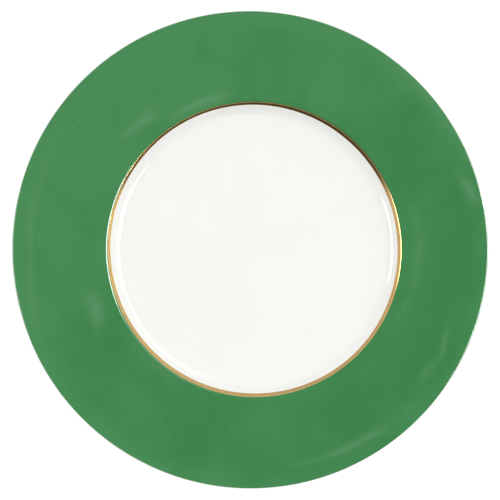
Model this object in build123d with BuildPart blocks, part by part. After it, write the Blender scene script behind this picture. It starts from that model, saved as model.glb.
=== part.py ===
from build123d import *

import os
from math import cos, radians, sin, tan

os.makedirs("parts", exist_ok=True)

# A bone china dinner plate, in millimetres. The origin is the centre of the face
# the plate stands on, +Z is up, and Z is the axis the plate was turned about.
# The china is one body; everything else is a coat fired onto it.

# Finished sizes, measured over the glaze.
PLATE_DIAMETER = 273.0
WELL_FLOOR_HEIGHT = 6.4

# Thickness of each coat.
GLAZE = 0.15
ENAMEL = 0.08
GOLD = 0.08

# Face side of the bare china, from the centre out: a flat floor, a slow lift, the
# hollow cavetto, the wall, the rounded verge and the rim that slopes up to the lip.
FLOOR_TOP = WELL_FLOOR_HEIGHT - GLAZE
FLOOR_RADIUS = 70.0
LIFT_SLOPE = 12.0
LIFT_ROUND = 40.0
CAVETTO_RADIUS = 81.2
CAVETTO_ROUND = 7.0
WALL_SLOPE = 48.0
VERGE_RADIUS = 86.1
VERGE_ROUND = 2.0
RIM_SLOPE = 9.0
LIP_RADIUS = PLATE_DIAMETER / 2 - GLAZE
LIP_THICKNESS = 2.4
LIP_TOP_ROUND = 1.3
LIP_UNDER_ROUND = 1.0

# Back of the bare china. The wall is thin enough for the foot of a second plate
# to reach the floor of this one before the two walls touch.
WALL_THICKNESS = 2.6
BACK_SLOPE = 10.4
BACK_ROUND = 5.5
HEEL_HEIGHT = 4.2
HEEL_ROUND = 7.0
FOOT_OUTER = 70.0
FOOT_WIDTH = 2.8
FOOT_TAPER = 0.6
FOOT_SHOULDER_HEIGHT = 2.7
FOOT_WELL_HEIGHT = 3.1
FOOT_ROOT_ROUND = 1.2
FOOT_EDGE_ROUND = 0.45

# The glaze is wiped off the foot up to this height before firing.
WIPED_HEIGHT = 0.6
WIPED_MARGIN = 1.5

# Radii at which the decoration starts and stops. The gold laps over the enamel.
GOLD_INNER = 84.3
ENAMEL_INNER = 85.5
GOLD_OUTER = 85.9
ENAMEL_OUTER = 135.9

ABOVE_PLATE = 40.0


def gradient(slope):
    return tan(radians(slope))


# Corners of the china's half section, as (radius, height). Each is rounded below.
lift_corner_radius = FLOOR_RADIUS + LIFT_ROUND * gradient(LIFT_SLOPE / 2)
lift_corner = (lift_corner_radius, FLOOR_TOP)
cavetto_height = FLOOR_TOP + (CAVETTO_RADIUS - lift_corner_radius) * gradient(LIFT_SLOPE)
cavetto_corner = (CAVETTO_RADIUS, cavetto_height)
verge_height = cavetto_height + (VERGE_RADIUS - CAVETTO_RADIUS) * gradient(WALL_SLOPE)
verge_corner = (VERGE_RADIUS, verge_height)
lip_height = verge_height + (LIP_RADIUS - VERGE_RADIUS) * gradient(RIM_SLOPE)
lip_top = (LIP_RADIUS, lip_height)
lip_bottom = (LIP_RADIUS, lip_height - LIP_THICKNESS)

# The back of the wall is parallel to its face. It runs from the heel up to the
# line of the rim's back, which falls from the lip towards the axis.
wall_back_radius = CAVETTO_RADIUS + WALL_THICKNESS * sin(radians(WALL_SLOPE))
wall_back_height = cavetto_height - WALL_THICKNESS * cos(radians(WALL_SLOPE))
rim_back_drop = lip_bottom[1] - LIP_RADIUS * gradient(BACK_SLOPE)
wall_back_drop = wall_back_height - wall_back_radius * gradient(WALL_SLOPE)
back_radius = (rim_back_drop - wall_back_drop) / (gradient(WALL_SLOPE) - gradient(BACK_SLOPE))
back_corner = (back_radius, rim_back_drop + back_radius * gradient(BACK_SLOPE))
heel_corner = ((HEEL_HEIGHT - wall_back_drop) / gradient(WALL_SLOPE), HEEL_HEIGHT)

foot_inner = FOOT_OUTER - FOOT_WIDTH

with BuildSketch(Plane.XZ) as china_section:
    with BuildLine():
        FilletPolyline(
            (0, FOOT_WELL_HEIGHT),
            (foot_inner - FOOT_TAPER, FOOT_WELL_HEIGHT),
            (foot_inner, 0),
            (FOOT_OUTER, 0),
            (FOOT_OUTER + FOOT_TAPER, FOOT_SHOULDER_HEIGHT),
            heel_corner,
            back_corner,
            lip_bottom,
            lip_top,
            verge_corner,
            cavetto_corner,
            lift_corner,
            (0, FLOOR_TOP),
            radius=[
                FOOT_ROOT_ROUND,
                FOOT_EDGE_ROUND,
                FOOT_EDGE_ROUND,
                FOOT_ROOT_ROUND,
                HEEL_ROUND,
                BACK_ROUND,
                LIP_UNDER_ROUND,
                LIP_TOP_ROUND,
                VERGE_ROUND,
                CAVETTO_ROUND,
                LIFT_ROUND,
            ],
        )
        Line((0, FLOOR_TOP), (0, FOOT_WELL_HEIGHT))
    make_face()


def coat_section(below, above, inner_radius, outer_radius):
    """Half section of a coat whose faces lie `below` and `above` over the china."""
    with BuildSketch(Plane.XZ) as underneath:
        add(china_section.sketch_local)
        if below > 0:
            offset(amount=below)
    with BuildSketch(Plane.XZ) as coat:
        add(china_section.sketch_local)
        offset(amount=above)
        add(underneath.sketch_local, mode=Mode.SUBTRACT)
        with Locations(((inner_radius + outer_radius) / 2, 0)):
            Rectangle(outer_radius - inner_radius, 2 * ABOVE_PLATE, mode=Mode.INTERSECT)
    return coat


# The glaze goes all round the china, then comes off the foot: two pieces are left.
with BuildSketch(Plane.XZ) as glaze_section:
    add(coat_section(0, GLAZE, 0, PLATE_DIAMETER).sketch_local)
    with Locations((FOOT_OUTER - FOOT_WIDTH / 2, WIPED_HEIGHT)):
        Rectangle(
            FOOT_WIDTH + 2 * WIPED_MARGIN,
            2 * WIPED_HEIGHT,
            align=(Align.CENTER, Align.MAX),
            mode=Mode.SUBTRACT,
        )

# Two radii cut a coat on the face and one on the back. The face's is the upper.
with BuildSketch(Plane.XZ) as enamel_section:
    rings = coat_section(GLAZE, GLAZE + ENAMEL, ENAMEL_INNER, ENAMEL_OUTER)
    add(rings.sketch_local.faces().sort_by(Axis.Y)[-1])

with BuildSketch(Plane.XZ) as gold_section:
    on_glaze = coat_section(GLAZE, GLAZE + GOLD, GOLD_INNER, ENAMEL_INNER)
    on_enamel = coat_section(GLAZE, GLAZE + ENAMEL + GOLD, ENAMEL_INNER - GOLD, GOLD_OUTER)
    add(on_glaze.sketch_local.faces().sort_by(Axis.Y)[-1])
    add(on_enamel.sketch_local.faces().sort_by(Axis.Y)[-1])
    add(enamel_section.sketch_local, mode=Mode.SUBTRACT)

with BuildPart() as china_body:
    revolve(china_section.sketch, axis=Axis.Z)
china_body.part.label = "china_body"

with BuildPart() as glaze_coat:
    revolve(glaze_section.sketch.faces().sort_by(SortBy.AREA)[-1], axis=Axis.Z)
glaze_coat.part.label = "glaze_coat"

with BuildPart() as foot_well_glaze:
    revolve(glaze_section.sketch.faces().sort_by(SortBy.AREA)[0], axis=Axis.Z)
foot_well_glaze.part.label = "foot_well_glaze"

with BuildPart() as green_ground_band:
    revolve(enamel_section.sketch, axis=Axis.Z)
green_ground_band.part.label = "green_ground_band"

with BuildPart() as gold_line:
    revolve(gold_section.sketch, axis=Axis.Z)
gold_line.part.label = "gold_line"

for piece in (china_body, glaze_coat, foot_well_glaze, green_ground_band, gold_line):
    export_step(piece.part, f"parts/{piece.part.label}.step")
    print(piece.part.label, round(piece.part.volume, 1), "mm3", piece.part.bounding_box().size)
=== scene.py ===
# %% [markdown]
# # A china dinner plate
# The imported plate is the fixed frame: it says how wide, how high and where each coat
# lies. This lesson turns finer versions of the same pieces on the same axis, gives each
# its fired finish, and lights them softly. All lengths below are in millimetres and are
# turned into metres only when a mesh is made.

import math

import bpy
import numpy as np
from mathutils import Matrix, Vector


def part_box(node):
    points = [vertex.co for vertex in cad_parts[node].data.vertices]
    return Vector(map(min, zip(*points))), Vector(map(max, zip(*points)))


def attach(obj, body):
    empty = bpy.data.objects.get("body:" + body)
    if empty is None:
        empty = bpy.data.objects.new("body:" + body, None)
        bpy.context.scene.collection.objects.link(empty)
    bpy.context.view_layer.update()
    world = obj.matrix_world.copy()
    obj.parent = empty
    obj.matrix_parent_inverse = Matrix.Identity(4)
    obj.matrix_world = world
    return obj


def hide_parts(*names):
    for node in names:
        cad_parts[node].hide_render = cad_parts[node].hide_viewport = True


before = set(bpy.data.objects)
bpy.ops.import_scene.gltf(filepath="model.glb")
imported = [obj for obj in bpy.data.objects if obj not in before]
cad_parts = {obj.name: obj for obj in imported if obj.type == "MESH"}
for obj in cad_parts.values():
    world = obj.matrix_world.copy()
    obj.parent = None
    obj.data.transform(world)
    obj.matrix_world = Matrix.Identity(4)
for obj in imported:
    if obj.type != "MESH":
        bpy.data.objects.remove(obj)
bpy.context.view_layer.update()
MM = 0.001

# %% [markdown]
# ## The half section
# A plate is made by pressing clay between a turning mould and a shaped roller, so one
# outline spun about the axis describes it completely. The outline is a string of straight
# runs whose corners are rounded off; that is how a mould maker draws it too. It runs from
# the middle of the back, round the foot ring, up the back of the rim, over the lip and
# down the face to the middle of the well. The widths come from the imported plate.

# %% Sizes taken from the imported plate
GLAZE = 0.15
ENAMEL = 0.08
GOLD_FILM = 0.03
EMBEDDED = 0.02  # how far a coat bites into the one below
PLATE_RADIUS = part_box("glaze_coat")[1].x / MM
ENAMEL_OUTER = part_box("green_ground_band")[1].x / MM
GOLD_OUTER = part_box("gold_line")[1].x / MM
LIP_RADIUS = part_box("china_body")[1].x / MM
print("plate", round(PLATE_RADIUS, 2), "enamel", round(ENAMEL_OUTER, 2), "gold", round(GOLD_OUTER, 2))

# %% Slopes, heights and thicknesses of the bare china
WALL_SLOPE = math.radians(48.0)
RIM_SLOPE = math.radians(9.0)
BACK_SLOPE = math.radians(10.4)
LIFT_SLOPE = math.radians(12.0)
FLOOR_TOP = 6.25
FLOOR_RADIUS = 70.0
LIFT_ROUND = 40.0
CAVETTO_RADIUS = 81.2
VERGE_RADIUS = 86.1
LIP_THICKNESS = 2.4
WALL_THICKNESS = 2.6
HEEL_HEIGHT = 4.2
FOOT_WELL_HEIGHT = 3.1
FOOT_OUTER = 70.0
FOOT_WIDTH = 2.8
FOOT_TAPER = 0.6
FOOT_SHOULDER_HEIGHT = 2.7
FOOT_INNER = FOOT_OUTER - FOOT_WIDTH
print("foot ring", FOOT_WIDTH, "mm wide, rim slope", round(math.degrees(RIM_SLOPE), 1), "degrees")


# %% Corners of the half section
def crossing(point_a, slope_a, point_b, slope_b):
    """Where the line through point_a meets the line through point_b, each at its slope."""
    a, b = math.tan(slope_a), math.tan(slope_b)
    radius = (point_b[1] - b * point_b[0] - point_a[1] + a * point_a[0]) / (a - b)
    return radius, point_a[1] + a * (radius - point_a[0])


lift_corner = FLOOR_RADIUS + LIFT_ROUND * math.tan(LIFT_SLOPE / 2)
cavetto = (CAVETTO_RADIUS, FLOOR_TOP + (CAVETTO_RADIUS - lift_corner) * math.tan(LIFT_SLOPE))
verge = (VERGE_RADIUS, cavetto[1] + (VERGE_RADIUS - CAVETTO_RADIUS) * math.tan(WALL_SLOPE))
lip_top = (LIP_RADIUS, verge[1] + (LIP_RADIUS - VERGE_RADIUS) * math.tan(RIM_SLOPE))
lip_bottom = (LIP_RADIUS, lip_top[1] - LIP_THICKNESS)
wall_back = (
    cavetto[0] + WALL_THICKNESS * math.sin(WALL_SLOPE),
    cavetto[1] - WALL_THICKNESS * math.cos(WALL_SLOPE),
)
back = crossing(wall_back, WALL_SLOPE, lip_bottom, BACK_SLOPE)
heel = (wall_back[0] + (HEEL_HEIGHT - wall_back[1]) / math.tan(WALL_SLOPE), HEEL_HEIGHT)

# Each corner is (radius, height, size of the round that replaces it).
corners = [
    (0.0, FOOT_WELL_HEIGHT, 0.0),
    (FOOT_INNER - FOOT_TAPER, FOOT_WELL_HEIGHT, 1.2),
    (FOOT_INNER, 0.0, 0.45),
    (FOOT_OUTER, 0.0, 0.45),
    (FOOT_OUTER + FOOT_TAPER, FOOT_SHOULDER_HEIGHT, 1.2),
    (*heel, 7.0),
    (*back, 5.5),
    (*lip_bottom, 1.0),
    (*lip_top, 1.3),
    (*verge, 2.0),
    (*cavetto, 7.0),
    (lift_corner, FLOOR_TOP, LIFT_ROUND),
    (0.0, FLOOR_TOP, 0.0),
]
print("verge", [round(c, 2) for c in verge], "lip", [round(c, 2) for c in lip_top])


def rounded(corners, longest_run=3.0, turn=math.radians(5.0)):
    """Points along the corners' outline, each corner swept round at its own radius."""
    line = [np.array(corners[0][:2])]
    for before, corner, after in zip(corners, corners[1:], corners[2:]):
        here = np.array(corner[:2])
        inward = np.array(before[:2]) - here
        onward = np.array(after[:2]) - here
        inward, onward = inward / np.linalg.norm(inward), onward / np.linalg.norm(onward)
        bend = math.pi - math.acos(np.clip(inward @ onward, -1, 1))
        reach = corner[2] * math.tan(bend / 2)
        middle = inward + onward
        centre = here + middle / np.linalg.norm(middle) * corner[2] / math.cos(bend / 2)
        start, end = here + inward * reach - centre, here + onward * reach - centre
        steps = max(2, math.ceil(bend / turn))
        for step in range(steps + 1):
            along = step / steps
            swing = math.sin((1 - along) * bend) * start + math.sin(along * bend) * end
            line.append(centre + swing / math.sin(bend))
    line.append(np.array(corners[-1][:2]))
    dense = [line[0]]
    for point in line[1:]:
        origin = dense[-1]
        gap = np.linalg.norm(point - origin)
        pieces = math.ceil(gap / longest_run) if gap > 1e-6 else 0
        dense += [origin + (point - origin) * (k + 1) / pieces for k in range(pieces)]
    return np.array(dense)


china_line = rounded(corners)
print("half section", len(china_line), "points, highest", round(china_line[:, 1].max(), 3), "mm")

# %% [markdown]
# ## Coats follow the china
# Glaze, enamel and gold are thin skins, so each is the china's outline moved outwards
# along its own normal by a fraction of a millimetre. Real china is never quite true: the
# rim sags and twists a little in the firing, and the surface rolls gently. The same small
# warp is given to every coat, so they stay one on top of the other.

# %% Outward normals, and a line moved along them
def outward(line):
    """Unit normals of the outline that point away from the china."""
    along = np.gradient(line, axis=0)
    along /= np.linalg.norm(along, axis=1)[:, None]
    normals = np.stack([along[:, 1], -along[:, 0]], axis=1)
    normals[[0, -1], 0] = 0.0
    return normals / np.linalg.norm(normals, axis=1)[:, None]


china_normals = outward(china_line)


def coated(thickness):
    return china_line + china_normals * thickness


face_start = int(np.argmax(china_line[:, 0]))


def face_height(radius, thickness):
    """Height of the face, `thickness` above the china, at each radius from the axis."""
    face = coated(thickness)[face_start:][::-1]
    return np.interp(radius, face[:, 0], face[:, 1])


print("face at the gold's outer edge", round(float(face_height(GOLD_OUTER, GLAZE)), 3), "mm up")

# %% The warp that firing leaves
SEGMENTS = 480
turn_angles = np.arange(SEGMENTS) * 2 * math.pi / SEGMENTS
WARP_STARTS = 74.0


def fired_warp(x, y):
    """Rise in millimetres: nothing where the foot carries the plate, more towards the lip."""
    radius, angle = np.hypot(x, y), np.arctan2(y, x)
    outwardness = np.clip((radius - WARP_STARTS) / (PLATE_RADIUS - WARP_STARTS), 0, 1) ** 1.5
    twist = 0.16 * np.cos(2 * angle - 0.7) + 0.07 * np.cos(3 * angle + 1.1) + 0.03 * np.cos(5 * angle)
    roll = 0.012 * np.sin(x / 9.1 + 1.3) * np.cos(y / 7.7 - 0.4) + 0.008 * np.sin((x + 0.6 * y) / 5.3)
    return outwardness * (twist + roll - 0.2)


lip_warp = fired_warp(LIP_RADIUS * np.cos(turn_angles), LIP_RADIUS * np.sin(turn_angles))
print("the lip sags by", round(-lip_warp.max(), 2), "to", round(-lip_warp.min(), 2), "mm")


# %% [markdown]
# ## Turning a piece
# Each piece is a closed loop of rings about the axis. The rows of the loop go once round
# the piece's own section, so the mesh is a watertight solid with a real thickness. Where
# a coat reaches the middle of the plate its rings close on a single point.

# %% A turned solid
def turned(name, rows, closed=True):
    """Solid from rows of ring points, each row (radius, height) or arrays of them."""
    points, rings = [], []
    for radius, height in rows:
        radius, height = np.broadcast_arrays(np.asarray(radius, float), np.asarray(height, float))
        if radius.max() < 1e-6:
            rings.append([len(points)])
            points.append((0.0, 0.0, float(height.max())))
            continue
        x, y = radius * np.cos(turn_angles), radius * np.sin(turn_angles)
        rings.append(list(range(len(points), len(points) + SEGMENTS)))
        points += list(zip(x, y, height + fired_warp(x, y)))
    faces = []
    pairs = list(zip(rings, rings[1:])) + ([(rings[-1], rings[0])] if closed else [])
    for lower, upper in pairs:
        if len(lower) == 1 and len(upper) == 1:
            continue
        for k in range(SEGMENTS):
            after = (k + 1) % SEGMENTS
            if len(lower) == 1:
                faces.append((lower[0], upper[after], upper[k]))
            elif len(upper) == 1:
                faces.append((lower[k], lower[after], upper[0]))
            else:
                faces.append((lower[k], lower[after], upper[after], upper[k]))
    mesh = bpy.data.meshes.new(name)
    mesh.from_pydata([tuple(c * MM for c in p) for p in points], [], faces)
    mesh.validate()
    mesh.shade_smooth()
    mesh.set_sharp_from_angle(angle=math.radians(35))
    piece = bpy.data.objects.new(name, mesh)
    bpy.context.scene.collection.objects.link(piece)
    print(name, len(mesh.vertices), "points", len(mesh.polygons), "faces")
    return piece


# %% [markdown]
# ## The china body
# Bone china is fired white and slightly translucent, but almost none of it shows: only
# the narrow face of the foot ring, which is wiped bare so that the plate doesn't stick
# to the kiln shelf. The body is the whole half section, turned.

# %% China body
china_body = turned("china_body", [tuple(point) for point in china_line], closed=False)

# %% [markdown]
# ## The glaze
# The plate is dipped, so glaze covers everything but the wiped foot. It is split there
# into the coat over the face and back, and the pool inside the foot ring. At the wiped
# edge it thins to nothing over half a millimetre, as glass does when it flows.

# %% Glaze coat and foot-well glaze
WIPED_HEIGHT = 0.6
GLAZE_RUN_OUT = 0.5
foot_face = int(np.argmin(np.abs(china_line[:, 0] - FOOT_OUTER + FOOT_WIDTH / 2) + china_line[:, 1] * 10))
inner_edge = max(i for i in range(foot_face) if china_line[i, 1] > WIPED_HEIGHT)
outer_edge = min(i for i in range(foot_face, len(china_line)) if china_line[i, 1] > WIPED_HEIGHT)


def glaze_shell(name, first, last, wiped_end):
    """Closed skin over china_line[first:last + 1], thinned where the foot was wiped."""
    run = np.concatenate([[0], np.cumsum(np.linalg.norm(np.diff(china_line, axis=0), axis=1))])
    from_edge = np.abs(run[first : last + 1] - run[first if wiped_end == "first" else last])
    thickness = GLAZE * np.clip(0.15 + from_edge / GLAZE_RUN_OUT, 0, 1) ** 0.5
    under = china_line[first : last + 1]
    over = under + china_normals[first : last + 1] * thickness[:, None]
    return turned(name, [tuple(p) for p in over] + [tuple(p) for p in under[::-1]])


glaze_coat = glaze_shell("glaze_coat", outer_edge, len(china_line) - 1, "first")
foot_well_glaze = glaze_shell("foot_well_glaze", 0, inner_edge, "last")

# %% [markdown]
# ## The green ground
# The rim's colour is an enamel dusted onto sticky oil and fired on top of the glaze. It
# stops just over the crest of the lip, so a hairline of white china edges the plate, and
# its inner edge stands up in a soft bead that the gold will cover. Its edges were cut by
# hand on a banding wheel, so they wander by a tenth or two of a millimetre. On the right the
# outer edge is drawn further in, so the white hairline there is wider: a painted highlight
# standing for the light the lip catches on that side.

# %% A line drawn on the banding wheel
def banded_edge(radius, wander, seed, *drifts):
    """Radius of a hand-banded edge at each turn angle.

    Each drift is (waves in a turn, size, heading): one wave is a plate off centre on the
    wheel, two are an oval one. The finer wander on top is the hand's.
    """
    chance = np.random.default_rng(seed)
    edge = np.full(SEGMENTS, float(radius))
    for waves, size, heading in drifts:
        edge += size * np.cos(waves * (turn_angles - math.radians(heading)))
    for wave in (3, 5, 8, 13, 21):
        size = wander * chance.normal() / wave**0.7
        edge += size * np.cos(wave * turn_angles + chance.uniform(0, 2 * math.pi))
    return edge


def coat_height(radius, thickness, reference=0.4):
    """Height of a coat `thickness` over the china at each radius, both given per point."""
    bare, full = face_height(radius, 0.0), face_height(radius, reference)
    return bare + (full - bare) * thickness / reference


def banded_ring(name, inner, outer, under, over, columns):
    """Ring on the face between two edges; under and over give its coats' thickness there."""
    across = [outer + (inner - outer) * column for column in columns]
    top = [(radius, coat_height(radius, over(radius))) for radius in across]
    bottom = [(radius, coat_height(radius, under(radius))) for radius in across]
    return turned(name, top + bottom[::-1])


def smooth(value):
    """0 below 0, 1 above 1, eased in between."""
    value = np.clip(value, 0, 1)
    return value * value * (3 - 2 * value)


# %% Green ground band
enamel_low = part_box("green_ground_band")[0].z / MM
gold_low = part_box("gold_line")[0].z / MM
face_radii = np.linspace(72, 100, 2801)
ENAMEL_INNER = float(np.interp(enamel_low, face_height(face_radii, GLAZE), face_radii))
GOLD_INNER = float(np.interp(gold_low, face_height(face_radii, GLAZE), face_radii))
print("enamel starts at", round(ENAMEL_INNER, 2), "gold at", round(GOLD_INNER, 2))

enamel_inner = banded_edge(ENAMEL_INNER, 0.04, 11, (2, 0.1, 135))
# The one-wave drift of the outer edge pulls the green back on the right: a painted highlight, the white
# china there standing for the light the lip catches.
enamel_outer = banded_edge(ENAMEL_OUTER - 0.37, 0.05, 12, (1, 0.2, 200), (2, 0.2, 140))


def enamel_thickness(radius):
    """Full over the rim, thinning to the outer edge, with a soft bead at the inner one."""
    outer_fall = smooth((enamel_outer - radius) / 0.5 + 0.1)
    inner_rise = smooth((radius - enamel_inner) / 0.12 + 0.1)
    bead = 0.012 * np.exp(-(((radius - enamel_inner - 0.5) / 0.35) ** 2))
    return (ENAMEL + bead) * outer_fall * inner_rise


def enamel_bed(radius):
    """What the enamel lies on; it bites a little into the glaze when it is fired."""
    return GLAZE - EMBEDDED


def enamel_top(radius):
    return GLAZE + enamel_thickness(radius)


# Columns stand closer at both edges, where the enamel's thickness changes.
outer_columns, middle_columns = np.linspace(0, 0.02, 9), np.linspace(0.02, 0.96, 24)
inner_columns = np.linspace(0.96, 1, 22)
enamel_columns = np.unique(np.concatenate([outer_columns, middle_columns, inner_columns]))
green_ground_band = banded_ring(
    "green_ground_band", enamel_inner, enamel_outer, enamel_bed, enamel_top, enamel_columns
)

# %% [markdown]
# ## The gold line
# Gold goes on last, with a brush held still while the plate turns. It is the thinnest
# coat of all, it laps over the enamel's bead, and its edges wander a little more than
# the enamel's because the brush fills and empties as it goes round.

# %% Gold line
gold_inner = banded_edge(GOLD_INNER - 0.1, 0.05, 21, (1, 0.12, 90), (2, 0.25, 135))
gold_outer = banded_edge(GOLD_OUTER - 0.12, 0.04, 22, (1, 0.18, 20), (2, 0.1, 135))
GOLD_EDGE = 0.004


def painted_face(radius):
    """What the gold is painted on: bare glaze, then the enamel's bead."""
    return GLAZE + np.where(radius > enamel_inner - 0.02, enamel_thickness(radius), 0.0)


def gold_bed(radius):
    return painted_face(radius) - EMBEDDED


def gold_top(radius):
    """The film is full in the middle and feathers out at both edges."""
    edge = np.minimum(radius - gold_inner, gold_outer - radius)
    return painted_face(radius) + GOLD_EDGE + (GOLD_FILM - GOLD_EDGE) * smooth(edge / 0.12 + 0.1)


gold_columns = np.linspace(0, 1, 33)
gold_line = banded_ring("gold_line", gold_inner, gold_outer, gold_bed, gold_top, gold_columns)

# %% [markdown]
# ## Writing finishes as arithmetic
# A procedural finish is sums and products of patterns. A small class stands for the wire
# between two shader nodes, so that `1 - dust * 0.5` builds its own Math nodes. A second
# one keeps the recipe for a finish: it adds any other node by type, settings and sockets.

# %% Wires between shader nodes
class Wire:
    def __init__(self, recipe, socket):
        self.recipe, self.socket = recipe, socket

    def maths(self, operation, first, second=0.0):
        return self.recipe.node("ShaderNodeMath", {"operation": operation}, {0: first, 1: second})

    def __add__(self, other):
        return self.maths("ADD", self, other)

    def __sub__(self, other):
        return self.maths("SUBTRACT", self, other)

    def __rsub__(self, other):
        return self.maths("SUBTRACT", other, self)

    def __mul__(self, other):
        return self.maths("MULTIPLY", self, other)

    def __truediv__(self, other):
        return self.maths("DIVIDE", self, other)

    def __pow__(self, other):
        return self.maths("POWER", self, other)

    __radd__, __rmul__ = __add__, __mul__


# %% A recipe of nodes
class Recipe:
    def __init__(self, tree):
        self.tree = tree
        self.tree.nodes.clear()

    def node(self, kind, settings=None, sockets=None, out=0):
        made = self.tree.nodes.new(kind)
        for key, value in (settings or {}).items():
            setattr(made, key, value)
        for key, value in (sockets or {}).items():
            if isinstance(value, Wire):
                self.tree.links.new(value.socket, made.inputs[key])
            else:
                made.inputs[key].default_value = value
        return Wire(self, made.outputs[out]) if made.outputs else None

    def compass(self, vector):
        """The vector's eastward, northward and upward parts."""
        split = self.node("ShaderNodeSeparateXYZ", sockets={0: vector}).socket.node
        return [Wire(self, part) for part in split.outputs]

    def between(self, value, low, high):
        """0 below low, 1 above high, eased in between."""
        settings = {"interpolation_type": "SMOOTHSTEP"}
        sockets = {"Value": value, "From Min": low, "From Max": high}
        return self.node("ShaderNodeMapRange", settings, sockets)


# %% A finish and its recipe
class Finish(Recipe):
    def __init__(self, name):
        self.material = bpy.data.materials.new(name)
        self.material.use_nodes = True
        super().__init__(self.material.node_tree)

    def place(self):
        """Where on the plate, in metres from the foot's centre."""
        return self.node("ShaderNodeTexCoord", out="Object")

    def noise(self, where, size_mm, detail=2.0, roughness=0.5):
        """Cloudy pattern from 0 to 1 whose clouds are about size_mm across."""
        sockets = {"Vector": where, "Scale": 1 / (size_mm * MM), "Detail": detail, "Roughness": roughness}
        return self.node("ShaderNodeTexNoise", sockets=sockets, out="Fac")

    def blend(self, mask, first, second):
        """first where mask is 0, second where it is 1, for colours."""
        sockets = {0: mask, 6: first, 7: second}
        return self.node("ShaderNodeMix", {"data_type": "RGBA"}, sockets, out=2)

    def bump(self, height, depth_mm):
        sockets = {"Height": height, "Distance": depth_mm * MM, "Strength": 1.0}
        return self.node("ShaderNodeBump", sockets=sockets)

    def fire(self, **sockets):
        """The Principled shader with these sockets, and the material it makes."""
        titles = {key: key.replace("_", " ").title().replace("Ior", "IOR") for key in sockets}
        named = {titles[key]: value for key, value in sockets.items()}
        surface = self.node("ShaderNodeBsdfPrincipled", sockets=named)
        self.node("ShaderNodeOutputMaterial", sockets={"Surface": surface})
        return self.material


def give(piece, finish, node):
    """Put a finish on a piece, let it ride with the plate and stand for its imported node."""
    piece.data.materials.append(finish)
    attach(piece, "root")
    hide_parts(node)


# %% [markdown]
# ## White china under glaze
# What the eye reads as white china is the body's diffuse white under a film of glass.
# One shader does both: its base is the china and its reflection the glaze. The glaze is
# never flat; it rolls over a few millimetres like orange peel, holds a rare pinhole, and
# shows the faint rings of the roller that pressed the plate.

# %% Glazed china
def rings_from_roller(finish, where, spacing_mm):
    """Faint concentric ripple, from the distance to the axis."""
    east, north, _ = finish.compass(where)
    radius = (east * east + north * north) ** 0.5
    along = finish.node("ShaderNodeCombineXYZ", sockets={0: radius})
    return finish.noise(along, spacing_mm, 1.0)


def glazed_china():
    china = Finish("glazed_china")
    where = china.place()
    peel = china.noise(where, 2.6, 1.0)
    swell = china.noise(where, 17.0, 1.0)
    ripple = rings_from_roller(china, where, 2.2)
    pits = china.between(china.noise(where, 0.9, 0.0), 0.16, 0.12)
    specks = china.between(china.noise(where, 0.62, 0.0), 0.90, 0.93)
    cloud = china.noise(where, 34.0, 3.0)
    body = china.blend(cloud, (0.830, 0.828, 0.800, 1), (0.850, 0.846, 0.812, 1))
    body = china.blend(specks * 0.35, body, (0.36, 0.30, 0.22, 1))
    normal = china.bump(swell + peel * 0.22 + ripple * 0.10 - pits * 0.3, 0.02)
    roughness = 0.05 + china.noise(where, 6.0) * 0.05
    return china.fire(base_color=body, roughness=roughness, ior=1.5, normal=normal)


give(glaze_coat, glazed_china(), "glaze_coat")
give(foot_well_glaze, glazed_china(), "foot_well_glaze")


# %% [markdown]
# ## Bare bone china
# Unglazed, the fired body is matt and fine as eggshell. The foot picks up grey where it
# has been slid over other plates.

# %% Bare foot
def bare_china():
    biscuit = Finish("bare_bone_china")
    where = biscuit.place()
    grain = biscuit.noise(where, 0.25, 2.0)
    scuffs = biscuit.between(biscuit.noise(where, 3.0, 4.0, 0.7), 0.52, 0.75)
    colour = biscuit.blend(scuffs, (0.80, 0.78, 0.73, 1), (0.47, 0.45, 0.41, 1))
    roughness = 0.72 + grain * 0.16
    return biscuit.fire(base_color=colour, roughness=roughness, ior=1.5, normal=biscuit.bump(grain, 0.03))


give(china_body, bare_china(), "china_body")


# %% [markdown]
# ## Green ground
# Ground-laid enamel is dusted on with cotton wool, so it is a little cloudy: thicker and
# darker here, thinner and yellower there, with a fine stipple and the odd pale speck
# where dust fell on the oil. It is glass all the same, and takes a clear reflection. Its colour
# also carries painted light: it is painted lighter towards the upper left, as if lit more from
# there, and lighter in a ring near the lip, a painted highlight.

# %% Green enamel
def green_enamel():
    green = Finish("green_enamel")
    where = green.place()
    east, north, _ = green.compass(where)
    clouds = green.noise(where, 30.0, 3.0, 0.5)
    drift = green.noise(where, 7.0, 3.0, 0.6)
    stipple = green.noise(where, 0.9, 3.0, 0.7)
    # Real cloudiness plus painted light: the north-minus-east term paints the rim lighter towards the
    # upper left, and the ring from 122 mm out to the lip is painted lighter, a painted highlight.
    lip_painted_highlight = green.between((east * east + north * north) ** 0.5, 0.122, 0.138)
    thinness_and_painted_light = 0.45 + (north - east) * 1.9 + (clouds - 0.5) * 1.5 + (drift - 0.5) * 0.4 + lip_painted_highlight * 0.45
    shade = green.blend(green.between(thinness_and_painted_light, 0.0, 1.0), (0.033, 0.189, 0.053, 1), (0.054, 0.223, 0.076, 1))
    shade = green.blend(green.between(stipple, 0.45, 0.8) * 0.2, shade, (0.028, 0.165, 0.046, 1))
    dust = green.between(green.noise(where, 1.2, 0.0), 0.90, 0.93)
    shade = green.blend(dust * 0.6, shade, (0.35, 0.55, 0.38, 1))
    relief = drift * 0.35 + stipple * 0.03 + dust * 0.5
    roughness = 0.012 + clouds * 0.02
    return green.fire(base_color=shade, roughness=roughness, ior=1.6, normal=green.bump(relief, 0.01))


give(green_ground_band, green_enamel(), "green_ground_band")


# %% [markdown]
# ## Burnished gold
# The gold is a metal film rubbed bright with sand. The brush and the rubbing both go
# round the plate, so its fine streaks do too, and it is thinner and browner in places.

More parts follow.
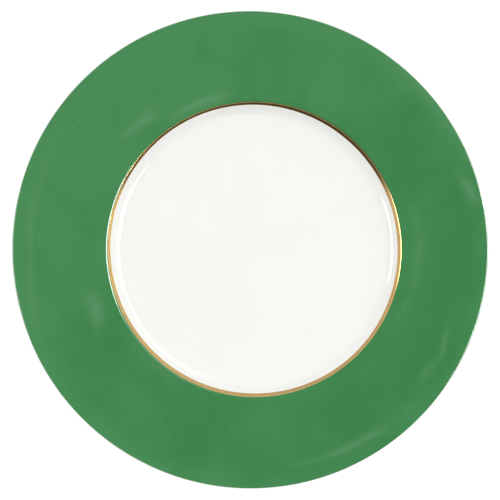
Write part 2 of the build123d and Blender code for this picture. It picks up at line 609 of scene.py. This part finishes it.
# %% Gold
def burnished_gold():
    gold = Finish("burnished_gold")
    where = gold.place()
    level = {0: where, 1: (1.0, 1.0, 0.0)}
    across = gold.node("ShaderNodeVectorMath", {"operation": "MULTIPLY"}, level)
    heading = gold.node("ShaderNodeVectorMath", {"operation": "NORMALIZE"}, {0: across})
    east, north, _ = gold.compass(across)
    radius = (east * east + north * north) ** 0.5
    round_it = gold.node("ShaderNodeVectorMath", {"operation": "SCALE"}, {0: heading, "Scale": 0.004})
    lift = gold.node("ShaderNodeCombineXYZ", sockets={2: radius})
    brush_path = gold.node("ShaderNodeVectorMath", {"operation": "ADD"}, {0: round_it, 1: lift})
    streaks = gold.noise(brush_path, 0.16, 3.0, 0.65)
    patches = gold.noise(where, 9.0, 2.0)
    colour = gold.blend(patches * 0.6 + streaks * 0.4, (0.80, 0.50, 0.19, 1), (0.95, 0.66, 0.30, 1))
    roughness = 0.09 + streaks * 0.10 + patches * 0.04
    normal = gold.bump(streaks, 0.003)
    return gold.fire(base_color=colour, metallic=1.0, roughness=roughness, normal=normal)


give(gold_line, burnished_gold(), "gold_line")

# %% [markdown]
# ## Table and lights
# The plate lies on a white table lit through from below, as for a catalogue, so that its
# outline stays clean. Gloss shows lights as shapes, so each light is a box of a real
# size: a bright one high on the right, a dim wing beside it, and a lower one on the left.
# Only part of their strength goes into the matt white; the rest of it is the room's.

# %% Table
def white_table():
    paper = Finish("white_table")
    mottle = paper.noise(paper.place(), 40.0)
    colour = paper.blend(mottle, (0.90, 0.90, 0.90, 1), (0.92, 0.92, 0.92, 1))
    glow = {"emission_color": (1.0, 1.0, 1.0, 1), "emission_strength": 0.18}
    return paper.fire(base_color=colour, roughness=0.9, **glow)


def flat_disc(name, radius_mm, height_mm):
    around = np.arange(96) * 2 * math.pi / 96
    rim = [(radius_mm * math.cos(a) * MM, radius_mm * math.sin(a) * MM, height_mm * MM) for a in around]
    mesh = bpy.data.meshes.new(name)
    mesh.from_pydata(rim, [], [tuple(range(96))])
    disc = bpy.data.objects.new(name, mesh)
    bpy.context.scene.collection.objects.link(disc)
    return disc


table = flat_disc("table", 4000.0, 0.0)
table.data.materials.append(white_table())


# %% Softboxes
STAND = 1200.0


def softbox(name, azimuth, elevation, wide, tall, radiance, matt_share):
    """A light aimed at the plate. Angles in degrees; azimuth counts from +X towards +Y.

    Two lamps share its place: one that gloss mirrors, and a weaker one that lights matt surfaces.
    """
    turn, tilt = math.radians(azimuth), math.radians(elevation)
    aim = Vector((math.cos(tilt) * math.cos(turn), math.cos(tilt) * math.sin(turn), math.sin(tilt)))
    for kind, share in (("gloss", 1.0), ("matt", matt_share)):
        light = bpy.data.lights.new(f"{name}_{kind}", "AREA")
        light.shape = "RECTANGLE"
        light.size = 2 * STAND * MM * math.tan(math.radians(wide / 2))
        light.size_y = 2 * STAND * MM * math.tan(math.radians(tall / 2))
        light.energy = share * radiance * light.size * light.size_y * math.pi
        stand = bpy.data.objects.new(light.name, light)
        stand.location = aim * STAND * MM
        stand.rotation_euler = aim.to_track_quat("Z", "Y").to_euler()
        stand.visible_camera = False
        stand.visible_diffuse = kind == "matt"
        stand.visible_glossy = kind == "gloss"
        bpy.context.scene.collection.objects.link(stand)


softbox("right_softbox", -3.0, 50, 28, 28, 22.0, 0.205)
softbox("right_wing", 42, 50, 24, 28, 1.8, 0.6)
softbox("left_softbox", 183.5, 37, 31, 19, 8.0, 0.28)

# %% [markdown]
# ## The room
# The room is what the gold and the glaze mirror. Its walls are pale, the side towards the
# viewer is dark, and overhead it is dim but for a few soft lamps, whose stretched images
# drift over the green rim. Matt surfaces see it more evenly, and the table's horizon is
# plain white.

# %% Room
def strip_lamp(room, east, north, lamp_east, lamp_north, heading, half_long, half_wide, radiance):
    """Soft-edged glow about one direction overhead, drawn out along its heading in degrees."""
    run, rise = math.cos(math.radians(heading)), math.sin(math.radians(heading))
    along = ((east - lamp_east) * run + (north - lamp_north) * rise) / half_long
    across = ((north - lamp_north) * run - (east - lamp_east) * rise) / half_wide
    faded = {0: 0.37, 1: across * across + along * along}
    return room.node("ShaderNodeMath", {"operation": "POWER"}, faded) * radiance


# Each overhead lamp: east, north, heading in degrees, half length, half width, radiance.
OVERHEAD_LAMPS = (
    (0.1200, -0.0110, 128, 0.009, 0.0018, 0.9),
    (0.1350, 0.0236, 15, 0.011, 0.0022, 1.0),
    (0.1170, -0.0386, 18, 0.010, 0.0060, 0.8),
    (0.1420, 0.0545, 135, 0.014, 0.0090, 0.3),
    (0.0480, 0.0140, 90, 0.020, 0.0050, 0.35),
)
ROOM_TINT = (0.985, 0.995, 1.0, 1)


def studio_room():
    """World whose gloss, matt and camera rays each see their own strength."""
    world = bpy.data.worlds.new("room")
    world.use_nodes = True
    room = Recipe(world.node_tree)
    east, north, up = room.compass(room.node("ShaderNodeTexCoord", out="Generated"))
    level = (east * east + north * north + 0.0001) ** 0.5
    front_heading = math.radians(274)
    facing_front = (east * math.cos(front_heading) + north * math.sin(front_heading)) / level
    front = room.between(facing_front, 0.30, 0.52) * room.between(up, 0.98, 0.92)
    walls = 0.57 + 0.15 * (east / level) ** 2 + 0.12 * east / level
    overhead = 0.22
    for lamp in OVERHEAD_LAMPS:
        overhead = strip_lamp(room, east, north, *lamp) + overhead
    high = room.between(up, 0.86, 0.95)
    mirrored = (walls * (1 - high) + overhead * high) * (1 - front * 0.90)
    path = room.node("ShaderNodeLightPath").socket.node.outputs
    matt, seen = Wire(room, path["Is Diffuse Ray"]), Wire(room, path["Is Camera Ray"])
    strength = mirrored * (1 - matt) + 1.015 * (1 - front * 0.2) * matt
    strength = strength * (1 - seen) + seen
    background = room.node("ShaderNodeBackground", sockets={"Color": ROOM_TINT, "Strength": strength})
    room.node("ShaderNodeOutputWorld", sockets={"Surface": background})
    return world


bpy.context.scene.world = studio_room()
print("room with", len(OVERHEAD_LAMPS), "lamps overhead")

# %% [markdown]
# ## Camera
# The plate is seen from almost straight above and a little to the left. From this close
# the camera sees more of the inside of the wall than it would from far away. It looks at
# a point on the level of the rim.

# %% Camera
camera = bpy.data.objects.new("camera", bpy.data.cameras.new("camera"))
bpy.context.scene.collection.objects.link(camera)
camera.data.lens = 43.55
camera.data.sensor_width = 36.0
camera.data.clip_start = 0.01
camera.location = Vector((-35.7, -3.3, 362.6)) * MM
target = Vector((-4.86, -0.58, 19.0)) * MM
away = (camera.location - target).normalized()
right = Vector((0, 1, 0)).cross(away).normalized()
up = away.cross(right)
camera.rotation_euler = Matrix((right, up, away)).transposed().to_euler()
bpy.context.scene.camera = camera
print("camera", round((camera.location - target).length / MM, 1), "mm from the point it looks at")
bpy.context.scene.view_settings.view_transform = "Standard"

# %% Bring the scene up to date
bpy.context.view_layer.update()
